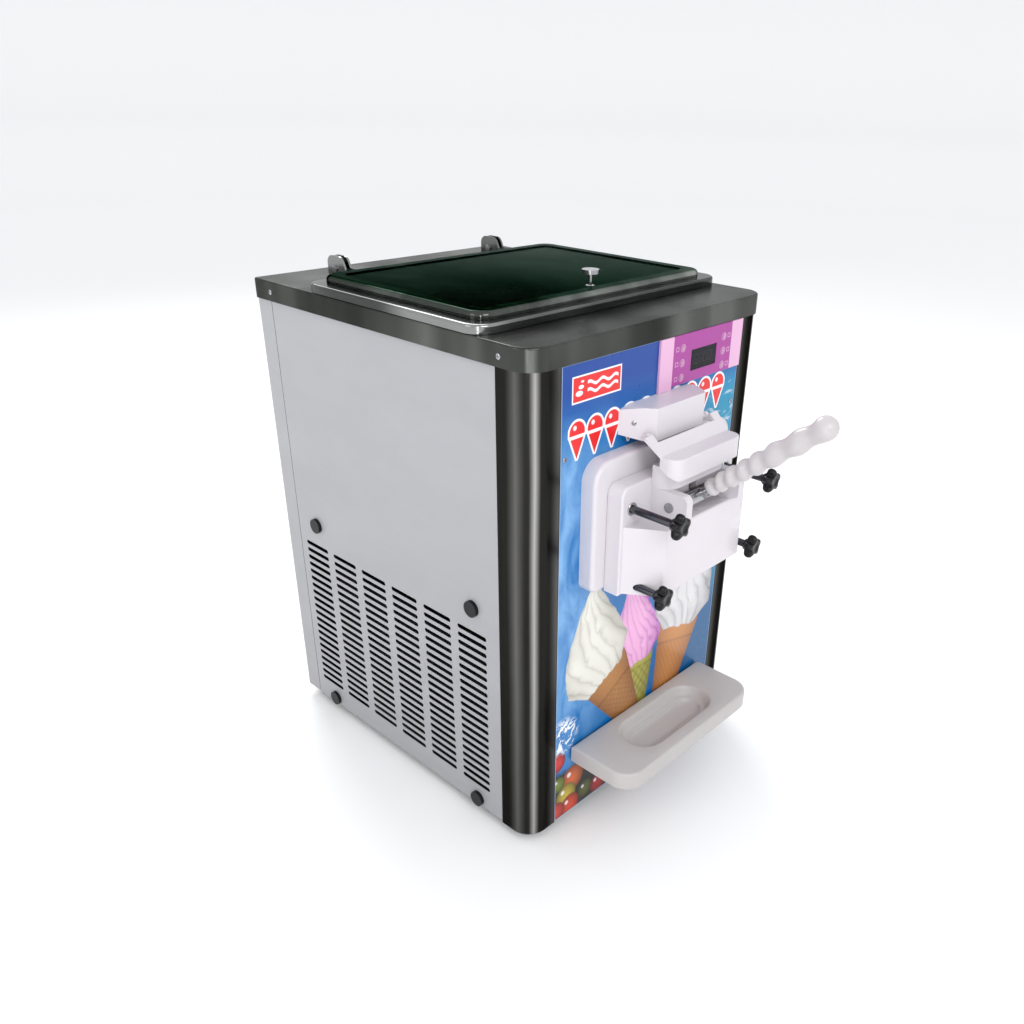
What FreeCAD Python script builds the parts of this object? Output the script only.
"""A counter-top soft ice cream machine, built piece by piece.

Millimetres, +Z up, the dispensing front facing -Y.  Every formula below is written in the machine's
body frame: X = 0 and Y = 0 at the middle of the casing and Z = 0 at the casing's lower edge.  At the
end each piece is moved by the same two sheet values, frame_shift along Y and foot_height along Z, so
that the origin lies under the middle of the whole machine, on the surface that its feet stand on.
"""
import FreeCAD, Part
import math
import os
import re

import Sketcher

Vector = FreeCAD.Vector
os.makedirs("parts", exist_ok=True)
doc = FreeCAD.newDocument("IceCreamMachine")

# ---------------------------------------------------------------- driving dimensions
DIMENSIONS = {
    # casing
    "body_width": 454, "body_depth": 531, "body_height": 673.4, "skirt": 26.5, "cover_round": 2.5,
    "foot_height": 14, "foot_radius": 19, "foot_inset": 45, "foot_pad": 5, "foot_stem": 16,
    "sheet_metal": 1.5, "inset": 2, "seam": 0.4, "panel_step": 1, "post_front": 52, "post_side": 54,
    "post_radius": 30, "rear_radius": 4, "rear_return": 33, "pan_wall": 30, "pan_gap": 3,
    "gland_x": -160, "gland_high": 70, "gland_bore": 4, "gland_neck": 9.9, "gland_reach": 14,
    "gland_inside": 12, "gland_nut": 14.9, "gland_nut_thick": 6,
    # louvres in the side panels
    "slot_length": 55, "slot_width": 6.4, "slot_pitch": 69.3, "slot_columns": 6, "slot_first": -186,
    "row_pitch": 12.375, "row_first": 39.9, "row_count": 21,
    "rear_columns": 3, "rear_rows": 12, "rear_pitch": 89.3,
    "plug_radius": 11.3, "plug_height": 5, "plug_rear": 181.5, "plug_front": -161.5,
    "plug_low": 13, "plug_high": 325,
    # front face
    "film": 1, "head_opening": 56,
    "control_left": -3.5, "control_right": 174, "control_low": 584, "control_thick": 3,
    "strip_width": 26, "strip_low": 580.3, "window_left": 60.5, "window_right": 116,
    "window_low": 597, "window_high": 624, "button_radius": 3.6, "button_left": 42,
    "button_right": 131.4, "button_top": 629.5, "button_pitch": 18.7, "button_rows": 3,
     "button_travel": 0.8, "button_gap": 0.15,
    "button_stem": 2, "stem_gap": 0.4, "button_cap": 1.6, "window_gap": 0.2, "window_sink": 0.6,
    # hopper and its lid
    "rim_front": -189, "rim_rear": 143, "rim_height": 10.5, "rim_gap": 0.5, "rim_radius": 26,
    "rim_round": 3, "tank_half": 182, "tank_front": -162, "tank_rear": 117, "tank_depth": 139,
    "tank_radius": 14, "cover_gap": 14, "drain_radius": 10, "drain_y": 30, "feed_tube": 13,
    "lid_half": 209, "lid_front": -174, "lid_rear": 132, "lid_height": 9.2, "lid_ridge": 20,
    "lid_radius": 22, "lid_round": 6, "lid_flat_radius": 14, "lid_sink": 1.6, "lid_gap": 0.3,
    "knob_front": -147, "knob_foot": 5.5, "knob_foot_thick": 1.5, "knob_stem": 2.4, "knob_rise": 16,
    "knob_cap": 11, "knob_cap_thick": 5, "hinge_x": 142, "hinge_y": 186, "hinge_z": 686,
    "arm_play": 0.5, "arm_eye": 7, "ear_reach": 17, "ear_round": 11, "ear_slope": 30, "cheek_thick": 3,
    "cheek_gap": 6, "hinge_pin": 3.5, "pin_head": 5, "pin_head_thick": 2, "ear_draw": 2, "fork_floor": 2,
    "arm_lap": 2, "arm_lift": 1, "arm_rise": 3,
    # dispensing head: the word deep counts forward from the casing's front plane
    "plate_half": 138, "plate_low": 358, "plate_high": 528, "plate_deep": 20,
    "plate_radius": 27, "plate_base_radius": 10, "plate_round": 5, "plate_gap": 0.2,
    "gasket_gap": 2, "gasket_wall": 6, "door_round": 2.5,
    "flange_half": 116, "flange_low": 357, "flange_high": 500, "flange_back": 20.5,
    "flange_deep": 43.5, "flange_radius": 13, "nose_root": 112, "nose_half": 83, "nose_low": 360,
    "nose_high": 450, "nose_deep": 85.7, "lug_outer": 62, "lug_inner": 50, "lug_deep": 97,
    "lug_high": 488, "lug_round": 9, "lug_lift": 6, "lug_tuck": 2, "shoulder_deep": 60.5,
    "shoulder_back": 3,
    "stud_x": 98, "stud_upper": 470, "stud_lower": 370, "stud_radius": 5, "stud_gap": 0.4,
    "knob_upper_deep": 108, "knob_lower_deep": 92, "knob_thick": 13, "knob_face": 4,
    "lobe_radius": 5.6, "lobe_circle": 10.8, "disc_sink": 0.5,
     "lobe_count": 5, "collar_radius": 7.5, "collar_length": 4,
    # draw lever and plunger
    "pivot_deep": 72, "pivot_high": 469, "pivot_radius": 4, "hub_radius": 10.5, "hub_half": 49,
    "lever_angle": 38.8, "lever_swing": 45, "finger_reach": 28, "finger_radius": 4,
    "finger_half": 7, "finger_thick": 5, "finger_play": 0.5, "finger_room": 1,
    "rod_radius": 5, "rod_length": 180,
    "boss_radius": 9.6, "grip_start": 20, "grip_root": 11.6, "grip_core": 11, "grip_fit": 0.02,
    "rod_gap": 0.5,
    "pivot_head": 6.2, "pivot_head_thick": 2.5,
    "plunger_deep": 45, "plunger_radius": 11, "plunger_low": 374, "port_radius": 8, "port_high": 385,
    "seal_depth": 2.4, "seal_width": 3, "seal_low": 16, "seal_high": 42, "fit": 0.05,
    "plunger_cap": 3.2, "slot_front": 12, "slot_back": 6, "flare_back": 3, "flare_high": 4,
    # feed chute, its lid and the bracket that carries the lid
    "chute_deep": 70, "chute_high": 516, "chute_round": 21, "chute_wall": 4,
    "feed_near": 16, "feed_far": 40, "feed_front": 57, "feed_back": 45, "feed_low": 444, "feed_high": 486,
    "hood_half": 69, "hood_back_half": 74, "hood_back": 38,
    "hood_knee": 60, "hood_deep": 84, "hood_high": 532, "hood_back_high": 551, "hood_low": 505.5,
    "hood_side_low": 518, "hood_wall": 3, "hood_round": 15, "notch_half": 58, "notch_deep": 46,
    "trunnion_deep": 30, "trunnion_high": 546, "trunnion_radius": 2.5, "trunnion_end": 60.5,
    "bracket_half": 48, "bracket_ear": 75, "bracket_shoulder": 57, "bracket_deep": 35.5,
    "bracket_low": 539, "bracket_high": 580, "ear_low": 546, "ear_high": 576,
    "tab_radius": 5, "tab_lap": 1.5, "tab_width": 4, "tab_sink": 6, "visor_round": 1.5,
    "visor_back": 1.5, "room_back": 10, "skirt_lap": 2, "slope_drop": 1,
    "nozzle_low": 343, "nozzle_step": 5, "nozzle_radius": 16, "nozzle_tip": 13,
    "star_points": 6, "star_outer": 8, "star_inner": 4.6,
    # drip tray
    "tray_half": 146, "tray_low": 92, "tray_high": 118, "tray_deep": 102, "tray_back": 0.6,
    "tray_radius": 30, "basin_half": 86, "basin_back": 17, "basin_front": 83, "basin_depth": 13,
    "round_play": 0.1,
    "tray_round": 2.5, "step_inset": 12, "step_depth": 6, "hook_x": 100, "hook_z": 104, "hook_deep": 9,
    "shank_radius": 3, "shank_head": 6, "shank_play": 0.4, "head_play": 0.6, "head_start": 5.2,
    "key_wall": 5,
    # freezing side
    "axis_high": 418, "barrel_bore": 50, "barrel_wall": 3, "barrel_rear": 50,
    "barrel_end": 4, "mouth_sink": 2, "seal_lip": 1, "seal_tail": 3,
    "jacket_front": 14, "jacket_radius": 80, "shaft_radius": 8, "seal_radius": 13,
    "beater_front": -276, "blade_reach": 49.7, "blade_root": 44, "blade_half": 1.5,
    "bar_circle": 40, "bar_radius": 4, "spider_half": 6, "spider_thick": 8, "spider_reach": 42,
    "spider_front": 2, "spider_middle": -110, "spider_rear": 18, "bar_rear": 10, "blade_front": 3,
    "blade_rear": 12, "shaft_play": 2, "gearbox_front": 56.5, "gearbox_rear": 150, "gearbox_half": 50,
    "gearbox_round": 12, "output_depth": 16, "input_depth": 25, "stub_depth": 20, "belt_front": 190,
    "belt_width": 16, "large_pulley": 45, "small_pulley": 22, "belt_thick": 5, "belt_gap": 0.3,
    "belt_play": 0.5,
    "cheek_rise": 5, "cheek_width": 2.5, "motor_x": 92, "motor_high": 112, "motor_radius": 58,
    "motor_front": 20, "motor_rear": 165.5, "motor_foot": 45, "foot_lap": 20, "foot_rise": 8,
    "input_radius": 7, "compressor_x": 92, "compressor_y": -120, "compressor_radius": 64,
    "dome_low": 155, "compressor_foot": 60, "compressor_base": 12, "compressor_round": 10,
    "condenser_left": -212, "condenser_thick": 44, "condenser_rear": 170, "condenser_front": -190,
    "condenser_leg": 8,
    "condenser_low": 42, "condenser_high": 262, "fan_y": -20, "fan_high": 152, "fan_radius": 92,
    "shroud_plate": 12, "shroud_depth": 30, "shroud_gap": 3, "shroud_wall": 3, "fan_start": 6,
    "fan_hub": 18, "hub_length": 22, "vane_count": 5, "vane_thick": 3, "vane_height": 44,
    "vane_pitch": 24, "fan_axle": 4, "axle_depth": 14, "fan_can": 26, "fan_can_length": 34,
    "fan_can_gap": 2, "stay_half": 6, "stay_thick": 3, "stay_start": 6, "stay_wall": 2,
    "pipe_radius": 4, "pipe_bend": 16, "suction_rise": 50, "liquid_rise": 40, "liquid_x": -30,
    "liquid_lead": 20,
}
# Distance from the lever's pivot and radius of each bead of the grip, the last one being its end.
GRIP_BEADS = ((57, 12.4), (77, 12.8), (97, 13.3), (123, 14), (160, 14.2), (197, 14.3))

# A change of the lever's swing or reach moves the plunger's slot, so the slot's height follows from them.
half_swing = math.radians(DIMENSIONS["lever_swing"] / 2)
DIMENSIONS["slot_centre"] = round(
    DIMENSIONS["pivot_high"] - DIMENSIONS["finger_reach"] * math.sin(half_swing), 3)

# The machine reaches from the grip's end to the gland's end, and its origin lies midway between them.
front_end = (DIMENSIONS["body_depth"] / 2 + DIMENSIONS["pivot_deep"] + GRIP_BEADS[-1][1]
             + GRIP_BEADS[-1][0] * math.cos(math.radians(DIMENSIONS["lever_angle"])))
rear_end = DIMENSIONS["body_depth"] / 2 - DIMENSIONS["inset"] + DIMENSIONS["gland_reach"]
DIMENSIONS["frame_shift"] = round((front_end - rear_end) / 2, 3)

sheet = doc.addObject("Spreadsheet::Sheet", "Dims")
for row, (alias, value) in enumerate(DIMENSIONS.items(), start=1):
    sheet.set(f"A{row}", alias)
    sheet.set(f"B{row}", str(value))
    sheet.setAlias(f"B{row}", alias)
doc.recompute()

# ---------------------------------------------------------------- building helpers
homes = {}
pieces = []
SIDES = (("left", -1), ("right", 1))


def formula(text):
    """The same formula with each dimension's name pointing at its cell."""
    def cell(match):
        name = match[0]
        return f"Dims.{name}" if name in DIMENSIONS else name
    return re.sub(r"[a-z]\w*", cell, str(text))


def size(text):
    """The number that a formula stands for."""
    return float(sheet.evalExpression(formula(text)))


def bind(item, **formulas):
    for name, text in formulas.items():
        item.setExpression(name, formula(text))


def home(item, x=0, y=0, z=0):
    """Place an item in the body frame and remember the formulas for the final move."""
    homes[item.Name] = (x, y, z)
    for axis, text in zip("xyz", (x, y, z)):
        item.setExpression(f"Placement.Base.{axis}", formula(text))
    return item


def deep(distance):
    """Y of a point that lies a distance in front of the casing's front plane."""
    return f"(-body_depth / 2 - ({distance}))"


def box(name, x, y, z):
    """A block between two limits along each axis."""
    item = doc.addObject("Part::Box", name)
    bind(item, Length=f"({x[1]}) - ({x[0]})", Width=f"({y[1]}) - ({y[0]})", Height=f"({z[1]}) - ({z[0]})")
    return home(item, x[0], y[0], z[0])


def cylinder(name, axis, centre, span, radius):
    """A cylinder along X, Y or Z; centre gives the other two coordinates in order."""
    item = doc.addObject("Part::Cylinder", name)
    bind(item, Radius=radius, Height=f"({span[1]}) - ({span[0]})")
    turn = {"x": (Vector(0, 1, 0), 90), "y": (Vector(1, 0, 0), -90), "z": (Vector(0, 0, 1), 0)}[axis]
    item.Placement = FreeCAD.Placement(Vector(), FreeCAD.Rotation(*turn))
    spots = list(centre)
    spots.insert("xyz".index(axis), span[0])
    return home(item, *spots)


def ball(name, centre, radius):
    item = doc.addObject("Part::Sphere", name)
    bind(item, Radius=radius)
    return home(item, *centre)


def fuse(name, *items):
    item = doc.addObject("Part::MultiFuse", name)
    item.Shapes = list(items)
    return home(item)


def cut(name, base, *tools):
    item = doc.addObject("Part::Cut", name)
    item.Base = base
    item.Tool = tools[0] if len(tools) == 1 else fuse(f"{name}_tools", *tools)
    return home(item)


def common(name, one, other):
    item = doc.addObject("Part::MultiCommon", name)
    item.Shapes = [one, other]
    return home(item)


def group(name, *items):
    """Several separate solids that share one node."""
    item = doc.addObject("Part::Compound", name)
    item.Links = list(items)
    return home(item)


def tube(name, axis, centre, span, outer, inner):
    return cut(name, cylinder(f"{name}_outer", axis, centre, span, outer),
               cylinder(f"{name}_inner", axis, centre, (f"{span[0]} - 1", f"{span[1]} + 1"), inner))


PLANES = {"z": ("XY_Plane", 1), "y": ("XZ_Plane", -1), "x": ("YZ_Plane", 1)}


def outline(body, name, axis, level, corners):
    """A closed, fully dimensioned polygon on one of the body's own planes."""
    role, sense = PLANES[axis]
    sketch = body.newObject("Sketcher::SketchObject", name)
    plane = next(item for item in body.Origin.OriginFeatures if item.Role == role)
    sketch.AttachmentSupport = [(plane, "")]
    sketch.MapMode = "FlatFace"
    sketch.setExpression("AttachmentOffset.Base.z", formula(level if sense > 0 else f"-({level})"))
    points = [(size(across), size(along)) for across, along in corners]
    count = len(points)
    for index, start in enumerate(points):
        end = points[(index + 1) % count]
        sketch.addGeometry(Part.LineSegment(Vector(*start, 0), Vector(*end, 0)), False)
    for index in range(count):
        sketch.addConstraint(Sketcher.Constraint("Coincident", index, 2, (index + 1) % count, 1))
    for index, (point, texts) in enumerate(zip(points, corners)):
        for kind, datum, line, text in (("DistanceX", point[0], -2, texts[0]),
                                        ("DistanceY", point[1], -1, texts[1])):
            if abs(datum) < 1e-9:
                sketch.addConstraint(Sketcher.Constraint("PointOnObject", index, 1, line))
            else:
                place = sketch.addConstraint(Sketcher.Constraint(kind, -1, 1, index, 1, datum))
                sketch.setExpression(f"Constraints[{place}]", formula(text))
    return sketch


def prism(name, axis, span, corners):
    """A PartDesign body: one polygon padded along X, Y or Z between two levels."""
    body = doc.addObject("PartDesign::Body", name)
    level = span[1] if axis == "y" else span[0]
    sketch = outline(body, f"{name}_outline", axis, level, corners)
    pad = body.newObject("PartDesign::Pad", f"{name}_pad")
    pad.Profile = sketch
    bind(pad, Length=f"({span[1]}) - ({span[0]})")
    doc.recompute()
    return home(body)


def soften(body, radius, chosen, chamfer=False):
    """Round or bevel the edges that a test picks from the body's present shape."""
    base = body.Tip
    names = [f"Edge{number}" for number, edge in enumerate(base.Shape.Edges, start=1) if chosen(edge)]
    if not names:
        raise ValueError(f"no edge to round on {body.Name}")
    kind, prop = ("PartDesign::Chamfer", "Size") if chamfer else ("PartDesign::Fillet", "Radius")
    blend = body.newObject(kind, f"{body.Name}_blend")
    blend.Base = (base, names)
    bind(blend, **{prop: radius})
    body.Tip = blend
    doc.recompute()
    return body


def along(axis, *corners):
    """A test for edges that run along an axis through one of the given corners."""
    slots = [slot for slot in range(3) if slot != "xyz".index(axis)]
    wanted = [(size(one), size(other)) for one, other in corners]

    def chosen(edge):
        ends = [vertex.Point for vertex in edge.Vertexes]
        if len(ends) != 2:
            return False
        return any(all(abs(end[slots[0]] - one) < 0.01 and abs(end[slots[1]] - other) < 0.01 for end in ends)
                   for one, other in wanted)
    return chosen


def on_plane(axis, level):
    """A test for edges that lie in one plane."""
    slot, wanted = "xyz".index(axis), size(level)

    def chosen(edge):
        box_ = edge.BoundBox
        low = (box_.XMin, box_.YMin, box_.ZMin)[slot]
        high = (box_.XMax, box_.YMax, box_.ZMax)[slot]
        return abs(low - wanted) < 0.01 and abs(high - wanted) < 0.01
    return chosen


def slab(name, x, y, z, radius=None, corners="all"):
    """A rectangular plate standing on XY with chosen upright edges rounded."""
    body = prism(name, "z", z, ((x[0], y[0]), (x[1], y[0]), (x[1], y[1]), (x[0], y[1])))
    if radius is not None:
        fronts = [(x[0], y[0]), (x[1], y[0])]
        backs = [(x[0], y[1]), (x[1], y[1])]
        picks = {"all": fronts + backs, "front": fronts, "back": backs}[corners]
        soften(body, radius, along("z", *picks))
    return body


def solid_feature(name, shape):
    """A piece whose repeated outline is worked out in code from the sheet's values."""
    item = doc.addObject("Part::Feature", name)
    item.Shape = shape
    return home(item)


def piece(label, item):
    """Give a finished sub-part its node name."""
    item.Label = label
    pieces.append(item)
    return item


def mirrored(text, sign):
    return text if sign > 0 else f"-({text})"


# ---------------------------------------------------------------- casing
def stadium_wire(centre, length, width, to_point):
    """A slot outline with round ends, carried onto a plane by to_point(across, up)."""
    radius = width / 2
    reach = length / 2 - radius
    across, up = centre
    edges = [
        Part.makeLine(to_point(across - reach, up - radius), to_point(across + reach, up - radius)),
        Part.Arc(to_point(across + reach, up - radius), to_point(across + reach + radius, up),
                 to_point(across + reach, up + radius)).toShape(),
        Part.makeLine(to_point(across + reach, up + radius), to_point(across - reach, up + radius)),
        Part.Arc(to_point(across - reach, up + radius), to_point(across - reach - radius, up),
                 to_point(across - reach, up - radius)).toShape(),
    ]
    return Part.Wire(edges)


def vented_sheet(name, across, up, columns, rows, to_point, thickness):
    """A flat sheet pierced by rows and columns of round-ended slots."""
    corners = [to_point(across[0], up[0]), to_point(across[1], up[0]),
               to_point(across[1], up[1]), to_point(across[0], up[1])]
    wires = [Part.makePolygon(corners + corners[:1])]
    for column in columns:
        for level in rows:
            wires.append(stadium_wire((column, level), size("slot_length"), size("slot_width"), to_point))
    face = Part.makeFace(wires, "Part::FaceMakerBullseye")
    return solid_feature(name, face.extrude(thickness))


def side_panels():
    columns = [size("slot_first + slot_length / 2") + number * size("slot_pitch")
               for number in range(DIMENSIONS["slot_columns"])]
    rows = [size("row_first") + number * size("row_pitch") for number in range(DIMENSIONS["row_count"])]
    span = (size("-body_depth / 2 + post_side + panel_step"), size("body_depth / 2 - rear_return - inset"))
    levels = (size("sheet_metal"), size("body_height - skirt - seam"))
    for side, sign in SIDES:
        outer = size(mirrored("body_width / 2 - inset - panel_step", sign))
        sheet_side = vented_sheet(
            f"{side}_panel_sheet", span, levels, columns, rows,
            lambda across, up, outer=outer: Vector(outer, across, up),
            Vector(-sign * size("sheet_metal"), 0, 0))
        piece(f"{side}_side_panel", sheet_side)


def panel_plugs():
    """Round black blanking plugs pressed over the side panels' screws."""
    plugs = []
    for side, sign in SIDES:
        face = mirrored("body_width / 2 - inset - panel_step", sign)
        for spot, (depth, height) in enumerate((("plug_rear", "plug_high"), ("plug_front", "plug_high"),
                                                ("plug_front", "plug_low"), ("plug_rear", "plug_low"))):
            span = (face, f"{face} + plug_height") if sign > 0 else (f"{face} - plug_height", face)
            plugs.append(cylinder(f"{side}_plug_{spot}", "x", (depth, height), span, "plug_radius"))
    piece("panel_plugs", group("plugs", *plugs))


def corner_posts():
    """Two folded stainless angles with a large outer radius."""
    low, high = "0", "body_height - skirt - seam"
    front = "-body_depth / 2 + inset"
    posts = []
    for side, sign in SIDES:
        outer = mirrored("body_width / 2 - inset", sign)
        wall = mirrored("sheet_metal", sign)
        inner = mirrored("body_width / 2 - post_front", sign)
        back = "-body_depth / 2 + post_side"
        post = prism(f"{side}_post", "z", (low, high), (
            (inner, front), (outer, front), (outer, back), (f"{outer} - {wall}", back),
            (f"{outer} - {wall}", f"{front} + sheet_metal"), (inner, f"{front} + sheet_metal")))
        soften(post, "post_radius - sheet_metal",
               along("z", (f"{outer} - {wall}", f"{front} + sheet_metal")))
        soften(post, "post_radius", along("z", (outer, front)))
        posts.append(post)
    piece("corner_posts", group("posts", *posts))


def rear_panel():
    """The back sheet with its two side returns and a louvred field over the drive."""
    half = "body_width / 2 - inset - panel_step"
    rear = "body_depth / 2 - inset"
    low, high = "sheet_metal", "body_height - skirt - seam"
    columns = [(number - 1) * size("rear_pitch") for number in range(DIMENSIONS["rear_columns"])]
    rows = [size("row_first") + number * size("row_pitch") for number in range(DIMENSIONS["rear_rows"])]
    back = vented_sheet("rear_sheet", (size(f"-({half})"), size(half)), (size(low), size(high)),
                        columns, rows, lambda across, up: Vector(across, size(rear), up),
                        Vector(0, -size("sheet_metal"), 0))
    returns = []
    for side, sign in SIDES:
        outer = mirrored(half, sign)
        inner = f"{outer} - ({mirrored('sheet_metal', sign)})"
        x = (inner, outer) if sign > 0 else (outer, inner)
        returns.append(box(f"{side}_return", x, (f"{rear} - rear_return + panel_step", rear), (low, high)))
    hole = cylinder("gland_hole", "y", ("gland_x", "gland_high"),
                    (f"{rear} - gland_inside", f"{rear} + gland_reach"), "gland_neck + 2 * fit")
    piece("rear_panel", cut("rear_cut", fuse("rear_shell", back, *returns), hole))


def cable_gland():
    """The power lead's threaded gland at the back, empty."""
    rear = "body_depth / 2 - inset"
    centre = ("gland_x", "gland_high")
    nut = cylinder("gland_nut", "y", centre, (rear, f"{rear} + gland_nut_thick"), "gland_nut")
    pipe = cylinder("gland_pipe", "y", centre,
                    (f"{rear} - gland_inside", f"{rear} + gland_reach"), "gland_neck")
    bore = cylinder("gland_hollow", "y", centre,
                    (f"{rear} - gland_inside - 1", f"{rear} + gland_reach + 1"), "gland_bore")
    piece("power_gland", cut("gland", fuse("gland_body", nut, pipe), bore))


def base_pan():
    """The folded tray that the casing stands on and the machinery is bolted to."""
    half = "body_width / 2 - inset - pan_gap"
    front, rear = "-body_depth / 2 + inset + pan_gap", "body_depth / 2 - inset - pan_gap"
    outer = slab("pan_outer", (f"-({half})", half), (front, rear), (0, "pan_wall"), "post_radius", "front")
    inner = slab("pan_inner", (f"-({half}) + sheet_metal", f"{half} - sheet_metal"),
                 (f"{front} + sheet_metal", f"{rear} - sheet_metal"), ("sheet_metal", "pan_wall + 1"),
                 "post_radius - sheet_metal", "front")
    piece("base_pan", cut("pan", outer, inner))


def rubber_feet():
    feet = []
    for side, sign in SIDES:
        x = mirrored("body_width / 2 - foot_inset", sign)
        for end, y in (("front", "-body_depth / 2 + foot_inset"), ("rear", "body_depth / 2 - foot_inset")):
            pad = cylinder(f"{side}_{end}_pad", "z", (x, y), ("-foot_height", "-foot_height + foot_pad"),
                           "foot_radius")
            stem = cylinder(f"{side}_{end}_stem", "z", (x, y), ("-foot_height + foot_pad", 0), "foot_stem")
            feet.append(fuse(f"{side}_{end}_foot", pad, stem))
    piece("rubber_feet", group("feet", *feet))


def front_sheets():
    """The steel front and the printed film that is stuck on it."""
    half = "body_width / 2 - post_front - seam"
    face = "-body_depth / 2 + inset"
    top = "body_height - skirt - seam"
    for label, near, thick in (("front_graphic", face, "film"),
                               ("front_panel", f"{face} + film", "sheet_metal")):
        blank = box(f"{label}_blank", (f"-({half})", half), (near, f"{near} + {thick}"), ("sheet_metal", top))
        hole = cylinder(f"{label}_hole", "y", (0, "axis_high"), (f"{near} - 1", f"{near} + {thick} + 1"),
                        "head_opening")
        keys = []
        for side, _ in SIDES:
            for row in range(DIMENSIONS["button_rows"]):
                keys.append(cylinder(f"{label}_{side}_key_{row}", "y",
                                     (f"button_{side}", f"button_top - {row} * button_pitch"),
                                     (f"{near} - 1", f"{near} + {thick} + 1"), "button_stem + stem_gap"))
        piece(label, cut(f"{label}_cut", blank, hole, *keys))


def top_cover():
    """The pressed lid-like cover: a skirt all round and the opening for the hopper."""
    half, deep_half = "body_width / 2", "body_depth / 2"
    low, high = "body_height - skirt", "body_height"
    outer = slab("cover_outer", (f"-{half}", half), (f"-{deep_half}", deep_half), (low, high))
    soften(outer, "post_radius", along("z", (f"-{half}", f"-{deep_half}"), (half, f"-{deep_half}")))
    soften(outer, "rear_radius", along("z", (f"-{half}", deep_half), (half, deep_half)))
    soften(outer, "cover_round", on_plane("z", high))
    inner = slab("cover_inner", (f"-{half} + sheet_metal", f"{half} - sheet_metal"),
                 (f"-{deep_half} + sheet_metal", f"{deep_half} - sheet_metal"),
                 (f"{low} - 1", f"{high} - sheet_metal"), "rear_radius - sheet_metal", "back")
    soften(inner, "post_radius - sheet_metal",
           along("z", (f"-{half} + sheet_metal", f"-{deep_half} + sheet_metal"),
                 (f"{half} - sheet_metal", f"-{deep_half} + sheet_metal")))
    opening = slab("cover_opening", ("-tank_half - cover_gap", "tank_half + cover_gap"),
                   ("tank_front - cover_gap", "tank_rear + cover_gap"), (f"{low} - 1", f"{high} + 1"))
    piece("top_cover", cut("cover", outer, inner, opening))


# ---------------------------------------------------------------- hopper
def hopper():
    """The mix hopper: a deep pan that hangs from its broad raised rim."""
    seat = "body_height + rim_gap"
    top = f"{seat} + rim_height"
    half = "body_width / 2"
    rim = slab("rim_block", (f"-{half}", half), ("rim_front", "rim_rear"), (seat, top), "rim_radius")
    soften(rim, "rim_round", on_plane("z", top))
    pan = slab("pan_block", ("-tank_half", "tank_half"), ("tank_front", "tank_rear"),
               (f"{top} - tank_depth", f"{top} - 1"), "tank_radius")
    room = slab("pan_room", ("-tank_half + sheet_metal", "tank_half - sheet_metal"),
                ("tank_front + sheet_metal", "tank_rear - sheet_metal"),
                (f"{top} - tank_depth + sheet_metal", f"{top} + 1"), "tank_radius - sheet_metal")
    drain = cylinder("pan_drain", "z", (0, "drain_y"),
                     (f"{top} - tank_depth - 1", f"{top} - tank_depth + sheet_metal + 1"), "drain_radius")
    piece("hopper_tank", cut("hopper", fuse("hopper_solid", rim, pan), room, drain))
    feed = tube("feed", "z", (0, "drain_y"),
                ("axis_high + barrel_bore + barrel_wall", f"{top} - tank_depth"), "feed_tube",
                "drain_radius")
    piece("mix_feed_tube", feed)


def hopper_lid():
    """A pressed steel lid with a rounded ridge round a sunk flat, and two welded hinge arms."""
    low = "body_height + rim_gap + rim_height + lid_gap"
    top = f"{low} + lid_height"
    shell = slab("lid_block", ("-lid_half", "lid_half"), ("lid_front", "lid_rear"), (low, top), "lid_radius")
    soften(shell, "lid_round", on_plane("z", top))
    sunk = slab("lid_flat", ("-lid_half + lid_ridge", "lid_half - lid_ridge"),
                ("lid_front + lid_ridge", "lid_rear - lid_ridge"), (f"{top} - lid_sink", f"{top} + 1"),
                "lid_flat_radius")
    under = slab("lid_under", ("-lid_half + sheet_metal", "lid_half - sheet_metal"),
                 ("lid_front + sheet_metal", "lid_rear - sheet_metal"),
                 (f"{low} - 1", f"{top} - lid_sink - sheet_metal"), "lid_radius - sheet_metal")
    arms = []
    for side, sign in SIDES:
        x = mirrored("hinge_x", sign)
        span = (f"{x} - cheek_gap / 2 + arm_play", f"{x} + cheek_gap / 2 - arm_play")
        arm = box(f"{side}_arm", span, ("lid_rear - arm_lap", "hinge_y"),
                  (f"{low} + arm_lift", "hinge_z + arm_rise"))
        eye = cylinder(f"{side}_eye", "x", ("hinge_y", "hinge_z"), span, "arm_eye")
        arms += [arm, eye]
    bores = [cylinder(f"{side}_arm_bore", "x", ("hinge_y", "hinge_z"),
                      (f"{mirrored('hinge_x', sign)} - cheek_gap", f"{mirrored('hinge_x', sign)} + cheek_gap"),
                      "hinge_pin + fit") for side, sign in SIDES]
    knob_hole = cylinder("lid_knob_hole", "z", (0, "knob_front"), (f"{low} - 1", f"{top} + 1"),
                         "knob_stem + 2 * fit")
    solid = fuse("lid_solid", cut("lid_shell", shell, sunk, under), *arms)
    piece("hopper_lid", cut("lid", solid, *bores, knob_hole))
    plate = f"{top} - lid_sink"
    centre, cap = (0, "knob_front"), f"{plate} + knob_rise"
    piece("lid_knob", fuse(
        "lid_knob_body",
        cylinder("lid_knob_foot", "z", centre, (plate, f"{plate} + knob_foot_thick"), "knob_foot"),
        cylinder("lid_knob_stem", "z", centre, (f"{plate} - 2 * sheet_metal", f"{cap} + 1"), "knob_stem"),
        cylinder("lid_knob_cap", "z", centre, (cap, f"{cap} + knob_cap_thick"), "knob_cap")))


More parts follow.
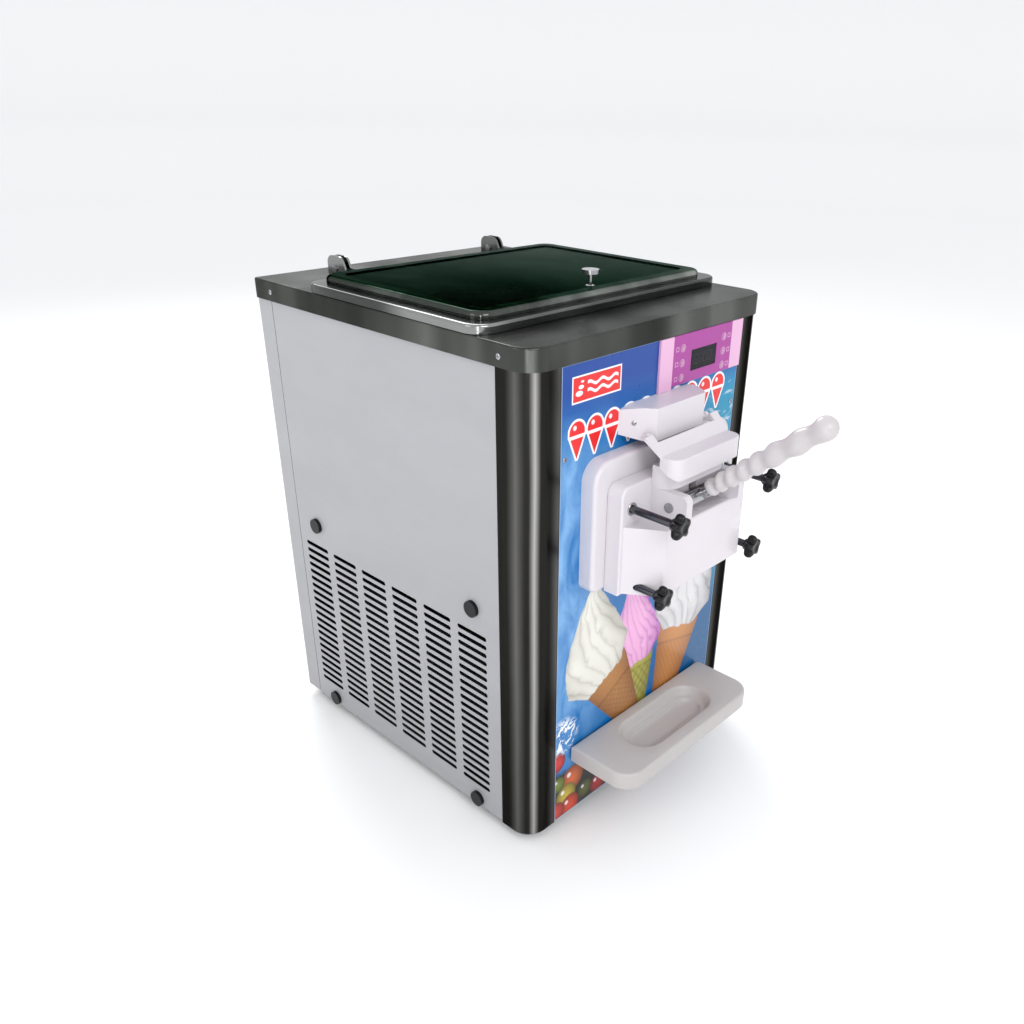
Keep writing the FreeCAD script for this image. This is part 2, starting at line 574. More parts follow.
def hinge_brackets():
    """Two forked brackets behind the lid, each with a pin through its cheeks."""
    outer = "cheek_gap / 2 + cheek_thick"
    back, top, low = "hinge_y + ear_reach", "hinge_z + ear_reach", "body_height"
    nose = "hinge_y - ear_reach + ear_draw"
    ears, pins = [], []
    for side, sign in SIDES:
        x = mirrored("hinge_x", sign)
        block = prism(f"{side}_ear", "x", (f"{x} - ({outer})", f"{x} + {outer}"), (
            (back, low), (back, top), (nose, top), ("hinge_y - ear_slope", low)))
        soften(block, "ear_round", along("x", (back, top), (nose, top)))
        gap = box(f"{side}_ear_gap", (f"{x} - cheek_gap / 2", f"{x} + cheek_gap / 2"),
                  ("hinge_y - ear_slope - 1", f"{back} + 1"), ("body_height + fork_floor", f"{top} + 1"))
        bore = cylinder(f"{side}_ear_bore", "x", ("hinge_y", "hinge_z"),
                        (f"{x} - ({outer}) - 1", f"{x} + {outer} + 1"), "hinge_pin")
        ears.append(cut(f"{side}_bracket", block, gap, bore))
        pin = cylinder(f"{side}_pin_rod", "x", ("hinge_y", "hinge_z"),
                       (f"{x} - ({outer})", f"{x} + {outer}"), "hinge_pin")
        head = cylinder(f"{side}_pin_head", "x", ("hinge_y", "hinge_z"),
                        (f"{x} - ({outer}) - pin_head_thick", f"{x} - ({outer})"), "pin_head")
        pins.append(fuse(f"{side}_pin", pin, head))
    piece("hinge_brackets", group("brackets", *ears))
    piece("hinge_pins", group("pins", *pins))


# ---------------------------------------------------------------- control panel
def control_panel():
    face = "-body_depth / 2 + inset"
    near = f"{face} - control_thick"
    top = "body_height - skirt - seam"
    plate = prism("control_plate", "y", (near, face), (
        ("control_left", "strip_low"), ("control_left + strip_width", "strip_low"),
        ("control_left + strip_width", "control_low"), ("control_right", "control_low"),
        ("control_right", top), ("control_left", top)))
    window = box("window_hole", ("window_left", "window_right"), (f"{near} - 1", f"{face} + 1"),
                 ("window_low", "window_high"))
    holes, reach = [], (f"{near} - 1", f"{face} + 1")
    for side, _ in SIDES:
        for row in range(DIMENSIONS["button_rows"]):
            centre = (f"button_{side}", f"button_top - {row} * button_pitch")
            holes.append(cylinder(f"{side}_key_hole_{row}", "y", centre, reach, "button_radius + button_gap"))
            cap = cylinder(f"{side}_key_cap_{row}", "y", centre,
                           (f"{near} - button_travel", f"{near} + button_cap"), "button_radius")
            stem = cylinder(f"{side}_key_stem_{row}", "y", centre,
                            (near, f"{face} + film + sheet_metal"), "button_stem")
            piece(f"{side}_button_{row + 1}", fuse(f"{side}_key_{row}", cap, stem))
    piece("control_panel", cut("control", plate, window, *holes))
    piece("display_window", box("display_pane", ("window_left + window_gap", "window_right - window_gap"),
                                (f"{near} + window_sink", f"{face} - fit"),
                                ("window_low + window_gap", "window_high - window_gap")))


# ---------------------------------------------------------------- dispensing head
def head_plate():
    """The thick white plate bolted over the freezing cylinder's mouth."""
    near, face = deep("plate_deep"), "-body_depth / 2 + inset"
    plate = prism("plate_block", "y", (near, face), (
        ("-plate_half", "plate_low"), ("plate_half", "plate_low"),
        ("plate_half", "plate_high"), ("-plate_half", "plate_high")))
    tops = [(mirrored("plate_half", sign), "plate_high") for side, sign in SIDES]
    lows = [(mirrored("plate_half", sign), "plate_low") for side, sign in SIDES]
    soften(plate, "plate_radius", along("y", *tops))
    soften(plate, "plate_base_radius", along("y", *lows))
    soften(plate, "plate_round", on_plane("y", near))
    mouth = cylinder("plate_mouth", "y", (0, "axis_high"), (f"{near} - 1", f"{face} + 1"),
                     "barrel_bore + barrel_wall + plate_gap")
    studs = [cylinder(f"plate_stud_{side}_{row}", "y", (mirrored("stud_x", sign), f"stud_{row}"),
                      (f"{near} - 1", f"{face} + 1"), "stud_radius")
             for side, sign in SIDES for row in ("upper", "lower")]
    piece("head_plate", cut("plate", plate, mouth, *studs))


def door_gasket():
    piece("door_gasket", tube("gasket", "y", (0, "axis_high"), (deep("flange_back"), deep("plate_deep")),
                              "barrel_bore + barrel_wall + gasket_gap + gasket_wall",
                              "barrel_bore + barrel_wall + gasket_gap"))


def dispensing_door():
    """One moulding: clamping flange, bevelled nose, shoulder, and two lugs for the lever."""
    flange = prism("flange", "y", (deep("flange_deep"), deep("flange_back")), (
        ("-flange_half", "flange_low"), ("flange_half", "flange_low"),
        ("flange_half", "flange_high"), ("-flange_half", "flange_high")))
    corners = [(mirrored("flange_half", sign), "flange_high") for side, sign in SIDES]
    soften(flange, "flange_radius", along("y", *corners))
    soften(flange, "door_round", on_plane("y", deep("flange_deep")))
    nose = prism("nose", "z", ("nose_low", "nose_high"), (
        ("-nose_root", deep("flange_deep - 1")), ("-nose_root", deep("flange_deep")),
        ("-nose_half", deep("nose_deep")), ("nose_half", deep("nose_deep")),
        ("nose_root", deep("flange_deep")), ("nose_root", deep("flange_deep - 1"))))
    soften(nose, "door_round", on_plane("y", deep("nose_deep")))
    shoulder = box("shoulder", ("-lug_outer", "lug_outer"),
                   (deep("shoulder_deep"), deep("flange_back + shoulder_back")),
                   ("nose_high - 1", "lug_high"))
    lugs = []
    for side, sign in SIDES:
        x = (mirrored("lug_inner", sign), mirrored("lug_outer", sign))
        x = x if sign > 0 else x[::-1]
        lug = prism(f"{side}_lug", "x", x, (
            (deep("flange_deep - 1"), "nose_high - 1"), (deep("nose_deep - lug_tuck"), "nose_high - 1"),
            (deep("lug_deep"), "nose_high + lug_lift"), (deep("lug_deep"), "lug_high"),
            (deep("flange_deep - 1"), "lug_high")))
        lugs.append(soften(lug, "lug_round", along("x", (deep("lug_deep"), "lug_high"))))
    solid = fuse("door_solid", flange, nose, shoulder, *lugs)
    piece("dispensing_door", cut("door", solid, *door_passages()))


def door_passages():
    """Everything that is bored through the door."""
    rear = deep("flange_back - 1")
    tools = [
        cylinder("plunger_bore", "z", (0, deep("plunger_deep")), ("flange_low - 1", "lug_high + 1"),
                 "plunger_radius + fit"),
        box("finger_slot", ("-finger_half - finger_room", "finger_half + finger_room"),
            (deep("shoulder_deep + 1"), deep("plunger_deep")), ("nose_high", "lug_high + 1")),
        cylinder("outlet_port", "y", (0, "port_high"), (deep("plunger_deep"), rear), "port_radius"),
        cylinder("pivot_bore", "x", (deep("pivot_deep"), "pivot_high"), ("-lug_outer - 1", "lug_outer + 1"),
                 "pivot_radius"),
    ]
    for side, sign in SIDES:
        x = feed_span(sign)
        tools.append(box(f"feed_drop_{side}", x, (deep("feed_front"), deep("feed_back")),
                         ("feed_high - 1", "lug_high + 1")))
        tools.append(box(f"feed_run_{side}", x, (deep("feed_front"), rear), ("feed_low", "feed_high")))
        for row in ("upper", "lower"):
            tools.append(cylinder(f"clamp_hole_{side}_{row}", "y", (mirrored("stud_x", sign), f"stud_{row}"),
                                  (deep("nose_deep + 1"), rear), "stud_radius + stud_gap"))
    return tools


def feed_span(sign):
    """The width of the left or right passage from the chute into the cylinder."""
    return ("feed_near", "feed_far") if sign > 0 else ("-feed_far", "-feed_near")


def clamp_studs():
    studs = []
    for side, sign in SIDES:
        for row in ("upper", "lower"):
            centre = (mirrored("stud_x", sign), f"stud_{row}")
            studs.append(cylinder(f"{side}_{row}_stud", "y", centre,
                                  (deep(f"knob_{row}_deep + knob_thick - knob_face"), "-body_depth / 2 + inset"),
                                  "stud_radius"))
    piece("clamp_studs", group("studs", *studs))


def star_knobs():
    """Four five-lobed black knobs that clamp the door."""
    for side, sign in SIDES:
        for row in ("upper", "lower"):
            x, level = mirrored("stud_x", sign), f"stud_{row}"
            back, front = deep(f"knob_{row}_deep"), deep(f"knob_{row}_deep + knob_thick")
            name = f"{side}_{row}_knob"
            lobes = []
            for number in range(DIMENSIONS["lobe_count"]):
                angle = 90 + number * 360 / DIMENSIONS["lobe_count"]
                spot = (f"{x} + lobe_circle * cos({angle})", f"{level} + lobe_circle * sin({angle})")
                lobes.append(cylinder(f"{name}_lobe_{number}", "y", spot, (front, back), "lobe_radius"))
            disc = cylinder(f"{name}_disc", "y", (x, level), (front, back), "lobe_circle - disc_sink")
            collar = cylinder(f"{name}_collar", "y", (x, level), (back, f"{back} + collar_length"),
                              "collar_radius")
            bore = cylinder(f"{name}_bore", "y", (x, level),
                            (f"{front} + knob_face - fit", f"{back} + collar_length + 1"), "stud_radius + fit")
            piece(f"star_knob_{side}_{row}", cut(name, fuse(f"{name}_body", disc, collar, *lobes), bore))


def lever_pin():
    rod = cylinder("pin_rod", "x", (deep("pivot_deep"), "pivot_high"), ("-lug_outer", "lug_outer"),
                   "pivot_radius")
    heads = [cylinder(f"pin_head_{side}", "x", (deep("pivot_deep"), "pivot_high"),
                      ("lug_outer", "lug_outer + pivot_head_thick") if sign > 0
                      else ("-lug_outer - pivot_head_thick", "-lug_outer"), "pivot_head")
             for side, sign in SIDES]
    piece("lever_pivot_pin", fuse("lever_pin", rod, *heads))


def aimed(name, kind, angle, start, **sizes):
    """A round primitive that starts on the lever's pivot and leans at an angle above -Y."""
    item = doc.addObject(kind, name)
    bind(item, **sizes)
    item.Placement = FreeCAD.Placement(Vector(), FreeCAD.Rotation(Vector(1, 0, 0), 90))
    item.setExpression("Placement.Rotation.Angle", formula(f"90 - ({angle})"))
    return home(item, 0, f"{deep('pivot_deep')} - ({start}) * cos({angle})",
                f"pivot_high + ({start}) * sin({angle})")


def draw_lever():
    """Hub, finger and rod in one piece, with the beaded grip pushed on the rod."""
    pivot = (deep("pivot_deep"), "pivot_high")
    hub = cylinder("hub", "x", pivot, ("-hub_half", "hub_half"), "hub_radius")
    boss = aimed("boss", "Part::Cylinder", "lever_angle", 0, Radius="boss_radius", Height="grip_start")
    rod = aimed("rod", "Part::Cylinder", "lever_angle", 0, Radius="rod_radius", Height="rod_length")
    finger_angle = "180 + lever_swing / 2"
    finger = doc.addObject("Part::Box", "finger")
    bind(finger, Length="2 * finger_half", Width="finger_reach", Height="finger_thick")
    finger.Placement = FreeCAD.Placement(Vector(), FreeCAD.Rotation(Vector(1, 0, 0), 0))
    finger.setExpression("Placement.Rotation.Angle", formula("-lever_swing / 2"))
    home(finger, "-finger_half",
         f"{deep('pivot_deep')} - finger_thick / 2 * sin(lever_swing / 2)",
         "pivot_high - finger_thick / 2 * cos(lever_swing / 2)")
    tip = cylinder("finger_tip", "x",
                   (f"{deep('pivot_deep')} - finger_reach * cos({finger_angle})",
                    f"pivot_high + finger_reach * sin({finger_angle})"),
                   ("-finger_half", "finger_half"), "finger_radius")
    bore = cylinder("hub_bore", "x", pivot, ("-hub_half - 1", "hub_half + 1"), "pivot_radius + fit")
    piece("draw_lever", cut("lever", fuse("lever_solid", hub, boss, rod, finger, tip), bore))

    parts = [aimed("grip_core", "Part::Cylinder", "lever_angle", "grip_start", Radius="grip_core",
                   Height=f"{GRIP_BEADS[-1][0]} - grip_start"),
             aimed("grip_sleeve", "Part::Cylinder", "lever_angle", "grip_start", Radius="grip_root",
                   Height=f"{GRIP_BEADS[0][0]} - grip_start")]
    for number, (reach, radius) in enumerate(GRIP_BEADS):
        parts.append(aimed(f"grip_bead_{number}", "Part::Sphere", "lever_angle", reach, Radius=radius))
    hollow = aimed("grip_hollow", "Part::Cylinder", "lever_angle", "grip_start - 1",
                   Radius="rod_radius + grip_fit", Height="rod_length - grip_start + 1 + rod_gap")
    piece("lever_grip", cut("grip", fuse("grip_solid", *parts), hollow))


def plunger():
    """The valve plunger: slotted head for the lever's finger and two sealing rings."""
    axis = (0, deep("plunger_deep"))
    rod = cylinder("plunger_rod", "z", axis, ("plunger_low", "slot_centre + finger_radius + plunger_cap"),
                   "plunger_radius")
    slot = box("plunger_slot", ("-finger_half - finger_play", "finger_half + finger_play"),
               (deep("plunger_deep + slot_front"), deep("plunger_deep - slot_back")),
               ("slot_centre - finger_radius - finger_play", "slot_centre + finger_radius + finger_play"))
    flare = box("plunger_flare", ("-finger_half - finger_play", "finger_half + finger_play"),
                (deep("plunger_deep + slot_front"), deep("plunger_deep + flare_back")),
                ("slot_centre - finger_radius - flare_high", "slot_centre + finger_radius + flare_high"))
    rings, grooves = [], []
    for number, level in enumerate(("port_high + seal_low", "port_high + seal_high")):
        span = (level, f"{level} + seal_width")
        grooves.append(tube(f"groove_{number}", "z", axis, span, "plunger_radius + 1",
                            "plunger_radius - seal_depth"))
        rings.append(tube(f"ring_{number}", "z", axis, span, "plunger_radius",
                          "plunger_radius - seal_depth"))
    piece("plunger", cut("valve_plunger", rod, slot, flare, *grooves))
    piece("plunger_seals", group("plunger_rings", *rings))


def star_prism(name, centre, span):
    """A star prism, worked out from its two radii."""
    corners, count = [], 2 * DIMENSIONS["star_points"]
    for number in range(count):
        radius = "star_outer" if number % 2 == 0 else "star_inner"
        angle = number * 360 / count
        corners.append((f"{centre[0]} + {radius} * cos({angle})", f"{centre[1]} + {radius} * sin({angle})"))
    return prism(name, "z", span, corners)


def spout_nozzle():
    axis = (0, deep("plunger_deep"))
    cap = fuse("nozzle_cap", cylinder("nozzle_ring", "z", axis, ("nozzle_low + nozzle_step", "flange_low"),
                                       "nozzle_radius"),
               cylinder("nozzle_tip", "z", axis, ("nozzle_low", "nozzle_low + nozzle_step + 1"),
                        "nozzle_tip"))
    star = star_prism("nozzle_star", axis, ("nozzle_low - 1", "flange_low + 1"))
    piece("spout_nozzle", cut("nozzle", cap, star))


def feed_chute():
    """The open-topped chute over the door with two drop holes in its floor."""
    back = deep("flange_deep")
    outer = slab("chute_outer", ("-lug_outer", "lug_outer"), (deep("chute_deep"), back),
                 ("lug_high", "chute_high"), "chute_round", "front")
    inner = slab("chute_inner", ("-lug_outer + chute_wall", "lug_outer - chute_wall"),
                 (deep("chute_deep - chute_wall"), f"{back} - chute_wall"),
                 ("lug_high + chute_wall", "chute_high + 1"), "chute_round - chute_wall", "front")
    holes = [box(f"drop_hole_{side}", feed_span(sign), (deep("feed_front"), deep("feed_back + chute_wall")),
                 ("lug_high - 1", "lug_high + chute_wall + 1")) for side, sign in SIDES]
    piece("feed_chute", cut("chute", outer, inner, *holes))


def lid_bracket():
    """The white block above the chute: flared ears on the panel and two moulded trunnions."""
    front, back = deep("bracket_deep"), "-body_depth / 2 + inset"
    plan = prism("bracket_plan", "z", ("bracket_low", "bracket_high"), (
        ("-bracket_ear", back), ("-bracket_half", front), ("bracket_half", front), ("bracket_ear", back)))
    face = prism("bracket_face", "y", (f"{front} - 1", f"{back} + 1"), (
        ("-bracket_ear - 1", "ear_low"), ("-bracket_shoulder", "bracket_low"),
        ("bracket_shoulder", "bracket_low"), ("bracket_ear + 1", "ear_low"),
        ("bracket_ear + 1", "ear_high"), ("bracket_shoulder", "bracket_high"),
        ("-bracket_shoulder", "bracket_high"), ("-bracket_ear - 1", "ear_high")))
    trunnions = cylinder("trunnions", "x", (deep("trunnion_deep"), "trunnion_high"),
                         ("-trunnion_end", "trunnion_end"), "trunnion_radius")
    piece("lid_bracket", fuse("bracket", common("bracket_block", plan, face), trunnions))


def feed_lid():
    """The hinged white hood: sloping back, flat visor and a skirt with round front corners."""
    knee, front = deep("hood_knee"), deep("hood_deep")
    visor = slab("visor", ("-hood_half", "hood_half"), (front, deep("hood_knee - visor_back")),
                 ("hood_low", "hood_high"), "hood_round", "front")
    soften(visor, "visor_round", on_plane("z", "hood_high"))
    room = slab("visor_room", ("-hood_half + hood_wall", "hood_half - hood_wall"),
                (f"{front} + hood_wall", deep("hood_knee - room_back")),
                ("hood_low - 1", "hood_high - hood_wall"), "hood_round - hood_wall", "front")
    rise = prism("skirt_rise", "x", ("-hood_half - 1", "hood_half + 1"), (
        (deep("hood_deep - skirt_lap"), "hood_low - 1"), (deep("hood_deep - skirt_lap"), "hood_low"),
        (deep("hood_knee - skirt_lap"), "hood_side_low"), (deep("hood_knee - skirt_lap"), "hood_low - 1")))
    slope = prism("slope", "x", ("-hood_back_half", "hood_back_half"), (
        (deep("hood_back"), "hood_back_high"), (knee, "hood_high"), (knee, "hood_high - hood_wall"),
        (deep("hood_back"), "hood_back_high - hood_wall - slope_drop")))
    taper = prism("slope_plan", "z", ("hood_low", "hood_back_high + 1"), (
        ("-hood_back_half", deep("hood_back")), ("-hood_half", knee), ("hood_half", knee),
        ("hood_back_half", deep("hood_back"))))
    notch = box("notch", ("-notch_half", "notch_half"), (deep("notch_deep"), deep("hood_back - 1")),
                ("hood_low", "hood_back_high + 1"))
    tabs, eyes = [], []
    for side, sign in SIDES:
        x = (mirrored("notch_half - tab_lap", sign), mirrored("notch_half + tab_width", sign))
        x = x if sign > 0 else x[::-1]
        tabs.append(cylinder(f"{side}_tab_eye", "x", (deep("trunnion_deep"), "trunnion_high"), x,
                             "tab_radius"))
        tabs.append(box(f"{side}_tab_arm", x, (deep("hood_back + tab_sink"), deep("trunnion_deep")),
                        ("trunnion_high - tab_radius", "trunnion_high - tab_lap")))
        eyes.append(cylinder(f"{side}_tab_bore", "x", (deep("trunnion_deep"), "trunnion_high"),
                             ("-hood_back_half", "hood_back_half"), "trunnion_radius + fit"))
    hood = fuse("hood_solid", cut("visor_shell", visor, room, rise),
                cut("slope_shell", common("slope_block", slope, taper), notch), *tabs)
    piece("feed_lid", cut("hood", hood, *eyes))


# ---------------------------------------------------------------- drip tray
def drip_tray():
    """A moulded tray with a stepped oval basin, hung on two headed studs."""
    back, front = deep("tray_back"), deep("tray_deep")
    block = slab("tray_block", ("-tray_half", "tray_half"), (front, back), ("tray_low", "tray_high"),
                 "tray_radius", "front")
    soften(block, "tray_round", on_plane("z", "tray_high"))
    round_end = "(basin_front - basin_back) / 2 - round_play"
    basin = slab("basin", ("-basin_half", "basin_half"), (deep("basin_front"), deep("basin_back")),
                 ("tray_high - basin_depth", "tray_high + 1"), round_end)
    well = slab("well", ("-basin_half + step_inset", "basin_half - step_inset"),
                (deep("basin_front - step_inset"), deep("basin_back + step_inset")),
                ("tray_high - basin_depth - step_depth", "tray_high"), f"{round_end} - step_inset")
    keys = []
    for side, sign in SIDES:
        x = mirrored("hook_x", sign)
        neck, room = "(shank_radius + shank_play)", "(shank_head + head_play)"
        wall = (deep("key_wall"), deep("0"))
        keys.append(box(f"{side}_key_neck", (f"{x} - {neck}", f"{x} + {neck}"), wall,
                        ("tray_low - 1", "hook_z + shank_play")))
        keys.append(cylinder(f"{side}_key_top", "y", (x, "hook_z + shank_play"), wall, neck))
        keys.append(box(f"{side}_key_room", (f"{x} - {room}", f"{x} + {room}"),
                        (deep("hook_deep + head_play"), deep("key_wall - head_play")),
                        ("tray_low - 1", f"hook_z + {room} + shank_play")))
    piece("drip_tray", cut("tray", block, basin, well, *keys))


def tray_hooks():
    hooks = []
    for side, sign in SIDES:
        centre = (mirrored("hook_x", sign), "hook_z")
        shank = cylinder(f"{side}_shank", "y", centre, (deep("hook_deep"), "-body_depth / 2 + inset"),
                         "shank_radius")
        head = cylinder(f"{side}_shank_head", "y", centre, (deep("hook_deep"), deep("head_start")),
                        "shank_head")
        hooks.append(fuse(f"{side}_hook", shank, head))
    piece("tray_hooks", group("hooks", *hooks))


# ---------------------------------------------------------------- freezing cylinder and drive
def freezing_cylinder():
    mouth, rear = deep("plate_deep - mouth_sink"), "barrel_rear"
    shell = tube("barrel", "y", (0, "axis_high"), (mouth, rear), "barrel_bore + barrel_wall", "barrel_bore")
    end = tube("barrel_end", "y", (0, "axis_high"), (f"{rear} - barrel_end", rear), "barrel_bore + 1",
               "seal_radius")
    inlet = cylinder("barrel_inlet", "z", (0, "drain_y"),
                     ("axis_high + barrel_bore / 2", "axis_high + barrel_bore + barrel_wall + 1"),
                     "drain_radius")
    piece("freezing_cylinder", cut("barrel_cut", fuse("barrel_body", shell, end), inlet))
    jacket = tube("jacket", "y", (0, "axis_high"), ("-body_depth / 2 + jacket_front", f"{rear} - barrel_end"),
                  "jacket_radius", "barrel_bore + barrel_wall")
    tap = cylinder("jacket_tap", "z", (0, "drain_y"),
                   ("axis_high", "axis_high + jacket_radius + 1"), "feed_tube")
    piece("insulation_jacket", cut("jacket_cut", jacket, tap))
    piece("shaft_seal", tube("seal", "y", (0, "axis_high"),
                             (f"{rear} - barrel_end - seal_lip", f"{rear} + seal_tail"),
                             "seal_radius", "shaft_radius + fit"))


def beater():
    """The dasher: a shaft with end spiders and two bars, each carrying a scraper blade."""
    axis = (0, "axis_high")
    front = "beater_front"
    parts = [cylinder("beater_shaft", "y", axis, (front, "gearbox_front + output_depth - shaft_play"),
                      "shaft_radius")]
    for number, place in enumerate((f"{front} + spider_front", "spider_middle", "barrel_rear - spider_rear")):
        parts.append(box(f"spider_{number}", ("-spider_half", "spider_half"),
                         (place, f"{place} + spider_thick"),
                         ("axis_high - spider_reach", "axis_high + spider_reach")))
    blades = []
    for name, sign in (("lower", -1), ("upper", 1)):
        level = f"axis_high + {sign} * bar_circle"
        parts.append(cylinder(f"bar_{name}", "y", (0, level),
                              (f"{front} + spider_front", "barrel_rear - bar_rear"), "bar_radius"))
        z = (f"axis_high + {sign} * blade_reach", f"axis_high + {sign} * blade_root")
        blades.append(box(f"blade_{name}", ("-blade_half", "blade_half"),
                          (f"{front} + blade_front", "barrel_rear - blade_rear"), z if sign < 0 else z[::-1]))
    piece("beater", fuse("dasher", *parts))
    piece("scraper_blades", group("blades", *blades))


def drive():
    """Gearbox behind the cylinder, motor on the base pan and a belt between their pulleys."""
    axis = (0, "axis_high")
    case = slab("gearbox_block", ("-gearbox_half", "gearbox_half"), ("gearbox_front", "gearbox_rear"),
                ("axis_high - gearbox_half", "axis_high + gearbox_half"), "gearbox_round")
    output = cylinder("output_bore", "y", axis, ("gearbox_front - 1", "gearbox_front + output_depth"),
                      "shaft_radius + fit")
    entry = cylinder("input_bore", "y", axis, ("gearbox_rear - input_depth", "gearbox_rear + 1"),
                     "input_radius + fit")
    piece("gearbox", cut("gearbox_case", case, output, entry))
    for label, centre, radius, bearing in (
            ("gearbox_pulley", axis, "large_pulley", "gearbox_rear"),
            ("motor_pulley", ("motor_x", "motor_high"), "small_pulley", "motor_rear")):
        span = ("belt_front", "belt_front + belt_width")
        rim = cylinder(f"{label}_rim", "y", centre, span, radius)
        stub = cylinder(f"{label}_stub", "y", centre, (f"{bearing} - stub_depth", "belt_front + 1"),
                        "input_radius")
        cheeks = [cylinder(f"{label}_cheek_{number}", "y", centre, (place, f"{place} + cheek_width"),
                           f"{radius} + cheek_rise")
                  for number, place in enumerate(("belt_front - cheek_width", "belt_front + belt_width"))]
        piece(label, fuse(f"{label}_body", rim, stub, *cheeks))
    piece("drive_belt", solid_feature("belt_loop", belt_shape()))

    centre = ("motor_x", "motor_high")
    motor = (cylinder("motor_can", "y", centre, ("motor_front", "motor_rear"), "motor_radius"),
             box("motor_base", ("motor_x - motor_foot", "motor_x + motor_foot"),
                 ("motor_front + foot_lap", "motor_rear - foot_lap"),
                 ("sheet_metal", "motor_high - motor_radius + foot_rise")))
    bore = cylinder("motor_bore", "y", centre, ("motor_rear - input_depth", "motor_rear + 1"),
                    "input_radius + fit")
    piece("beater_motor", cut("motor", fuse("motor_solid", *motor), bore))


def belt_shape():
    """A flat belt: the outline round both pulleys, thickened outward."""
    start = size("belt_front + belt_play")
    big = (Vector(0, start, size("axis_high")), size("large_pulley + belt_gap"))
    small = (Vector(size("motor_x"), start, size("motor_high")), size("small_pulley + belt_gap"))
    line = small[0] - big[0]
    reach = line.Length
    line.normalize()
    square = Vector(-line.z, 0, line.x)

    def loop(extra):
        far, near = big[1] + extra, small[1] + extra
        lean = (far - near) / reach
        rise = math.sqrt(1 - lean ** 2)
        ends = []
        for sign in (1, -1):
            normal = line * lean + square * (sign * rise)
            ends.append((big[0] + normal * far, small[0] + normal * near))
        (top_big, top_small), (low_big, low_small) = ends
        edges = [Part.makeLine(top_big, top_small),
                 Part.Arc(top_small, small[0] + line * near, low_small).toShape(),
                 Part.makeLine(low_small, low_big),
                 Part.Arc(low_big, big[0] - line * far, top_big).toShape()]
        return Part.Wire(edges)

    face = Part.makeFace([loop(size("belt_thick")), loop(0)], "Part::FaceMakerBullseye")
    return face.extrude(Vector(0, size("belt_width - 2 * belt_play"), 0))


# ---------------------------------------------------------------- refrigeration
def condenser_and_fan():
    left, right = "condenser_left", "condenser_left + condenser_thick"
    core = box("condenser_core", (left, right), ("condenser_front", "condenser_rear"),
               ("condenser_low", "condenser_high"))
    legs = [box(f"condenser_leg_{end}", (left, right), (place, f"{place} + condenser_leg"),
                ("sheet_metal", "condenser_low"))
            for end, place in (("front", "condenser_front"), ("rear", "condenser_rear - condenser_leg"))]
    piece("condenser", fuse("condenser_body", core, *legs))
    plate = box("shroud_plate", (right, f"{right} + shroud_plate"), ("condenser_front", "condenser_rear"),
                ("condenser_low", "condenser_high"))
    ring = cylinder("shroud_ring", "x", ("fan_y", "fan_high"), (right, f"{right} + shroud_depth"),
                    "fan_radius + shroud_gap + shroud_wall")
    hole = cylinder("shroud_hole", "x", ("fan_y", "fan_high"), (f"{right} - 1", f"{right} + shroud_depth + 1"),
                    "fan_radius + shroud_gap")
    piece("fan_shroud", cut("shroud", fuse("shroud_body", plate, ring), hole))

    axle = ("fan_y", "fan_high")
    start = f"{right} + fan_start"
    hub = cylinder("fan_hub", "x", axle, (start, f"{start} + hub_length"), "fan_hub")
    vanes = []
    for number in range(DIMENSIONS["vane_count"]):
        vane = doc.addObject("Part::Box", f"vane_{number}")
        bind(vane, Length="vane_thick", Width="fan_radius", Height="vane_height")
        turn = FreeCAD.Rotation(Vector(1, 0, 0), number * 360 / DIMENSIONS["vane_count"])
        turn = turn.multiply(FreeCAD.Rotation(Vector(0, 1, 0), size("vane_pitch")))
        vane.Placement = FreeCAD.Placement(Vector(), turn)
        # the vane is centred on its own height before it is pitched and turned
        offset = turn.multVec(Vector(-size("vane_thick") / 2, 0, -size("vane_height") / 2))
        vanes.append(home(vane, f"{start} + hub_length / 2 + {offset.x:.6f}", f"fan_y + {offset.y:.6f}",
                          f"fan_high + {offset.z:.6f}"))
    socket = cylinder("fan_socket", "x", axle,
                      (f"{start} + hub_length - axle_depth", f"{start} + hub_length + 1"), "fan_axle + fit")
    ring_room = cylinder("fan_room", "x", axle, (f"{start} - hub_length", f"{start} + 2 * hub_length"),
                         "fan_radius")
    blades = common("fan_trim", fuse("fan_vanes", *vanes), ring_room)
    piece("fan_blades", cut("fan", fuse("fan_body", hub, blades), socket))

    back = f"{start} + hub_length + fan_can_gap"
    can = cylinder("fan_motor_can", "x", axle, (back, f"{back} + fan_can_length"), "fan_can")
    axle_rod = cylinder("fan_motor_axle", "x", axle, (f"{start} + hub_length - axle_depth + 1", back),
                        "fan_axle")
    ring = "fan_radius + shroud_gap"
    level = ("fan_high - stay_half", "fan_high + stay_half")
    end = f"{back} + stay_start + stay_thick"
    near = (f"fan_y - ({ring} + stay_wall)", f"fan_y - ({ring})")
    far = (f"fan_y + {ring}", f"fan_y + {ring} + stay_wall")
    stay = box("fan_stay", (f"{back} + stay_start", end), (near[0], far[1]), level)
    feet = [box(f"stay_foot_{place}", (f"{right} + shroud_depth", end), width, level)
            for place, width in (("front", near), ("rear", far))]
    piece("fan_motor", fuse("fan_drive", can, axle_rod, stay, *feet))


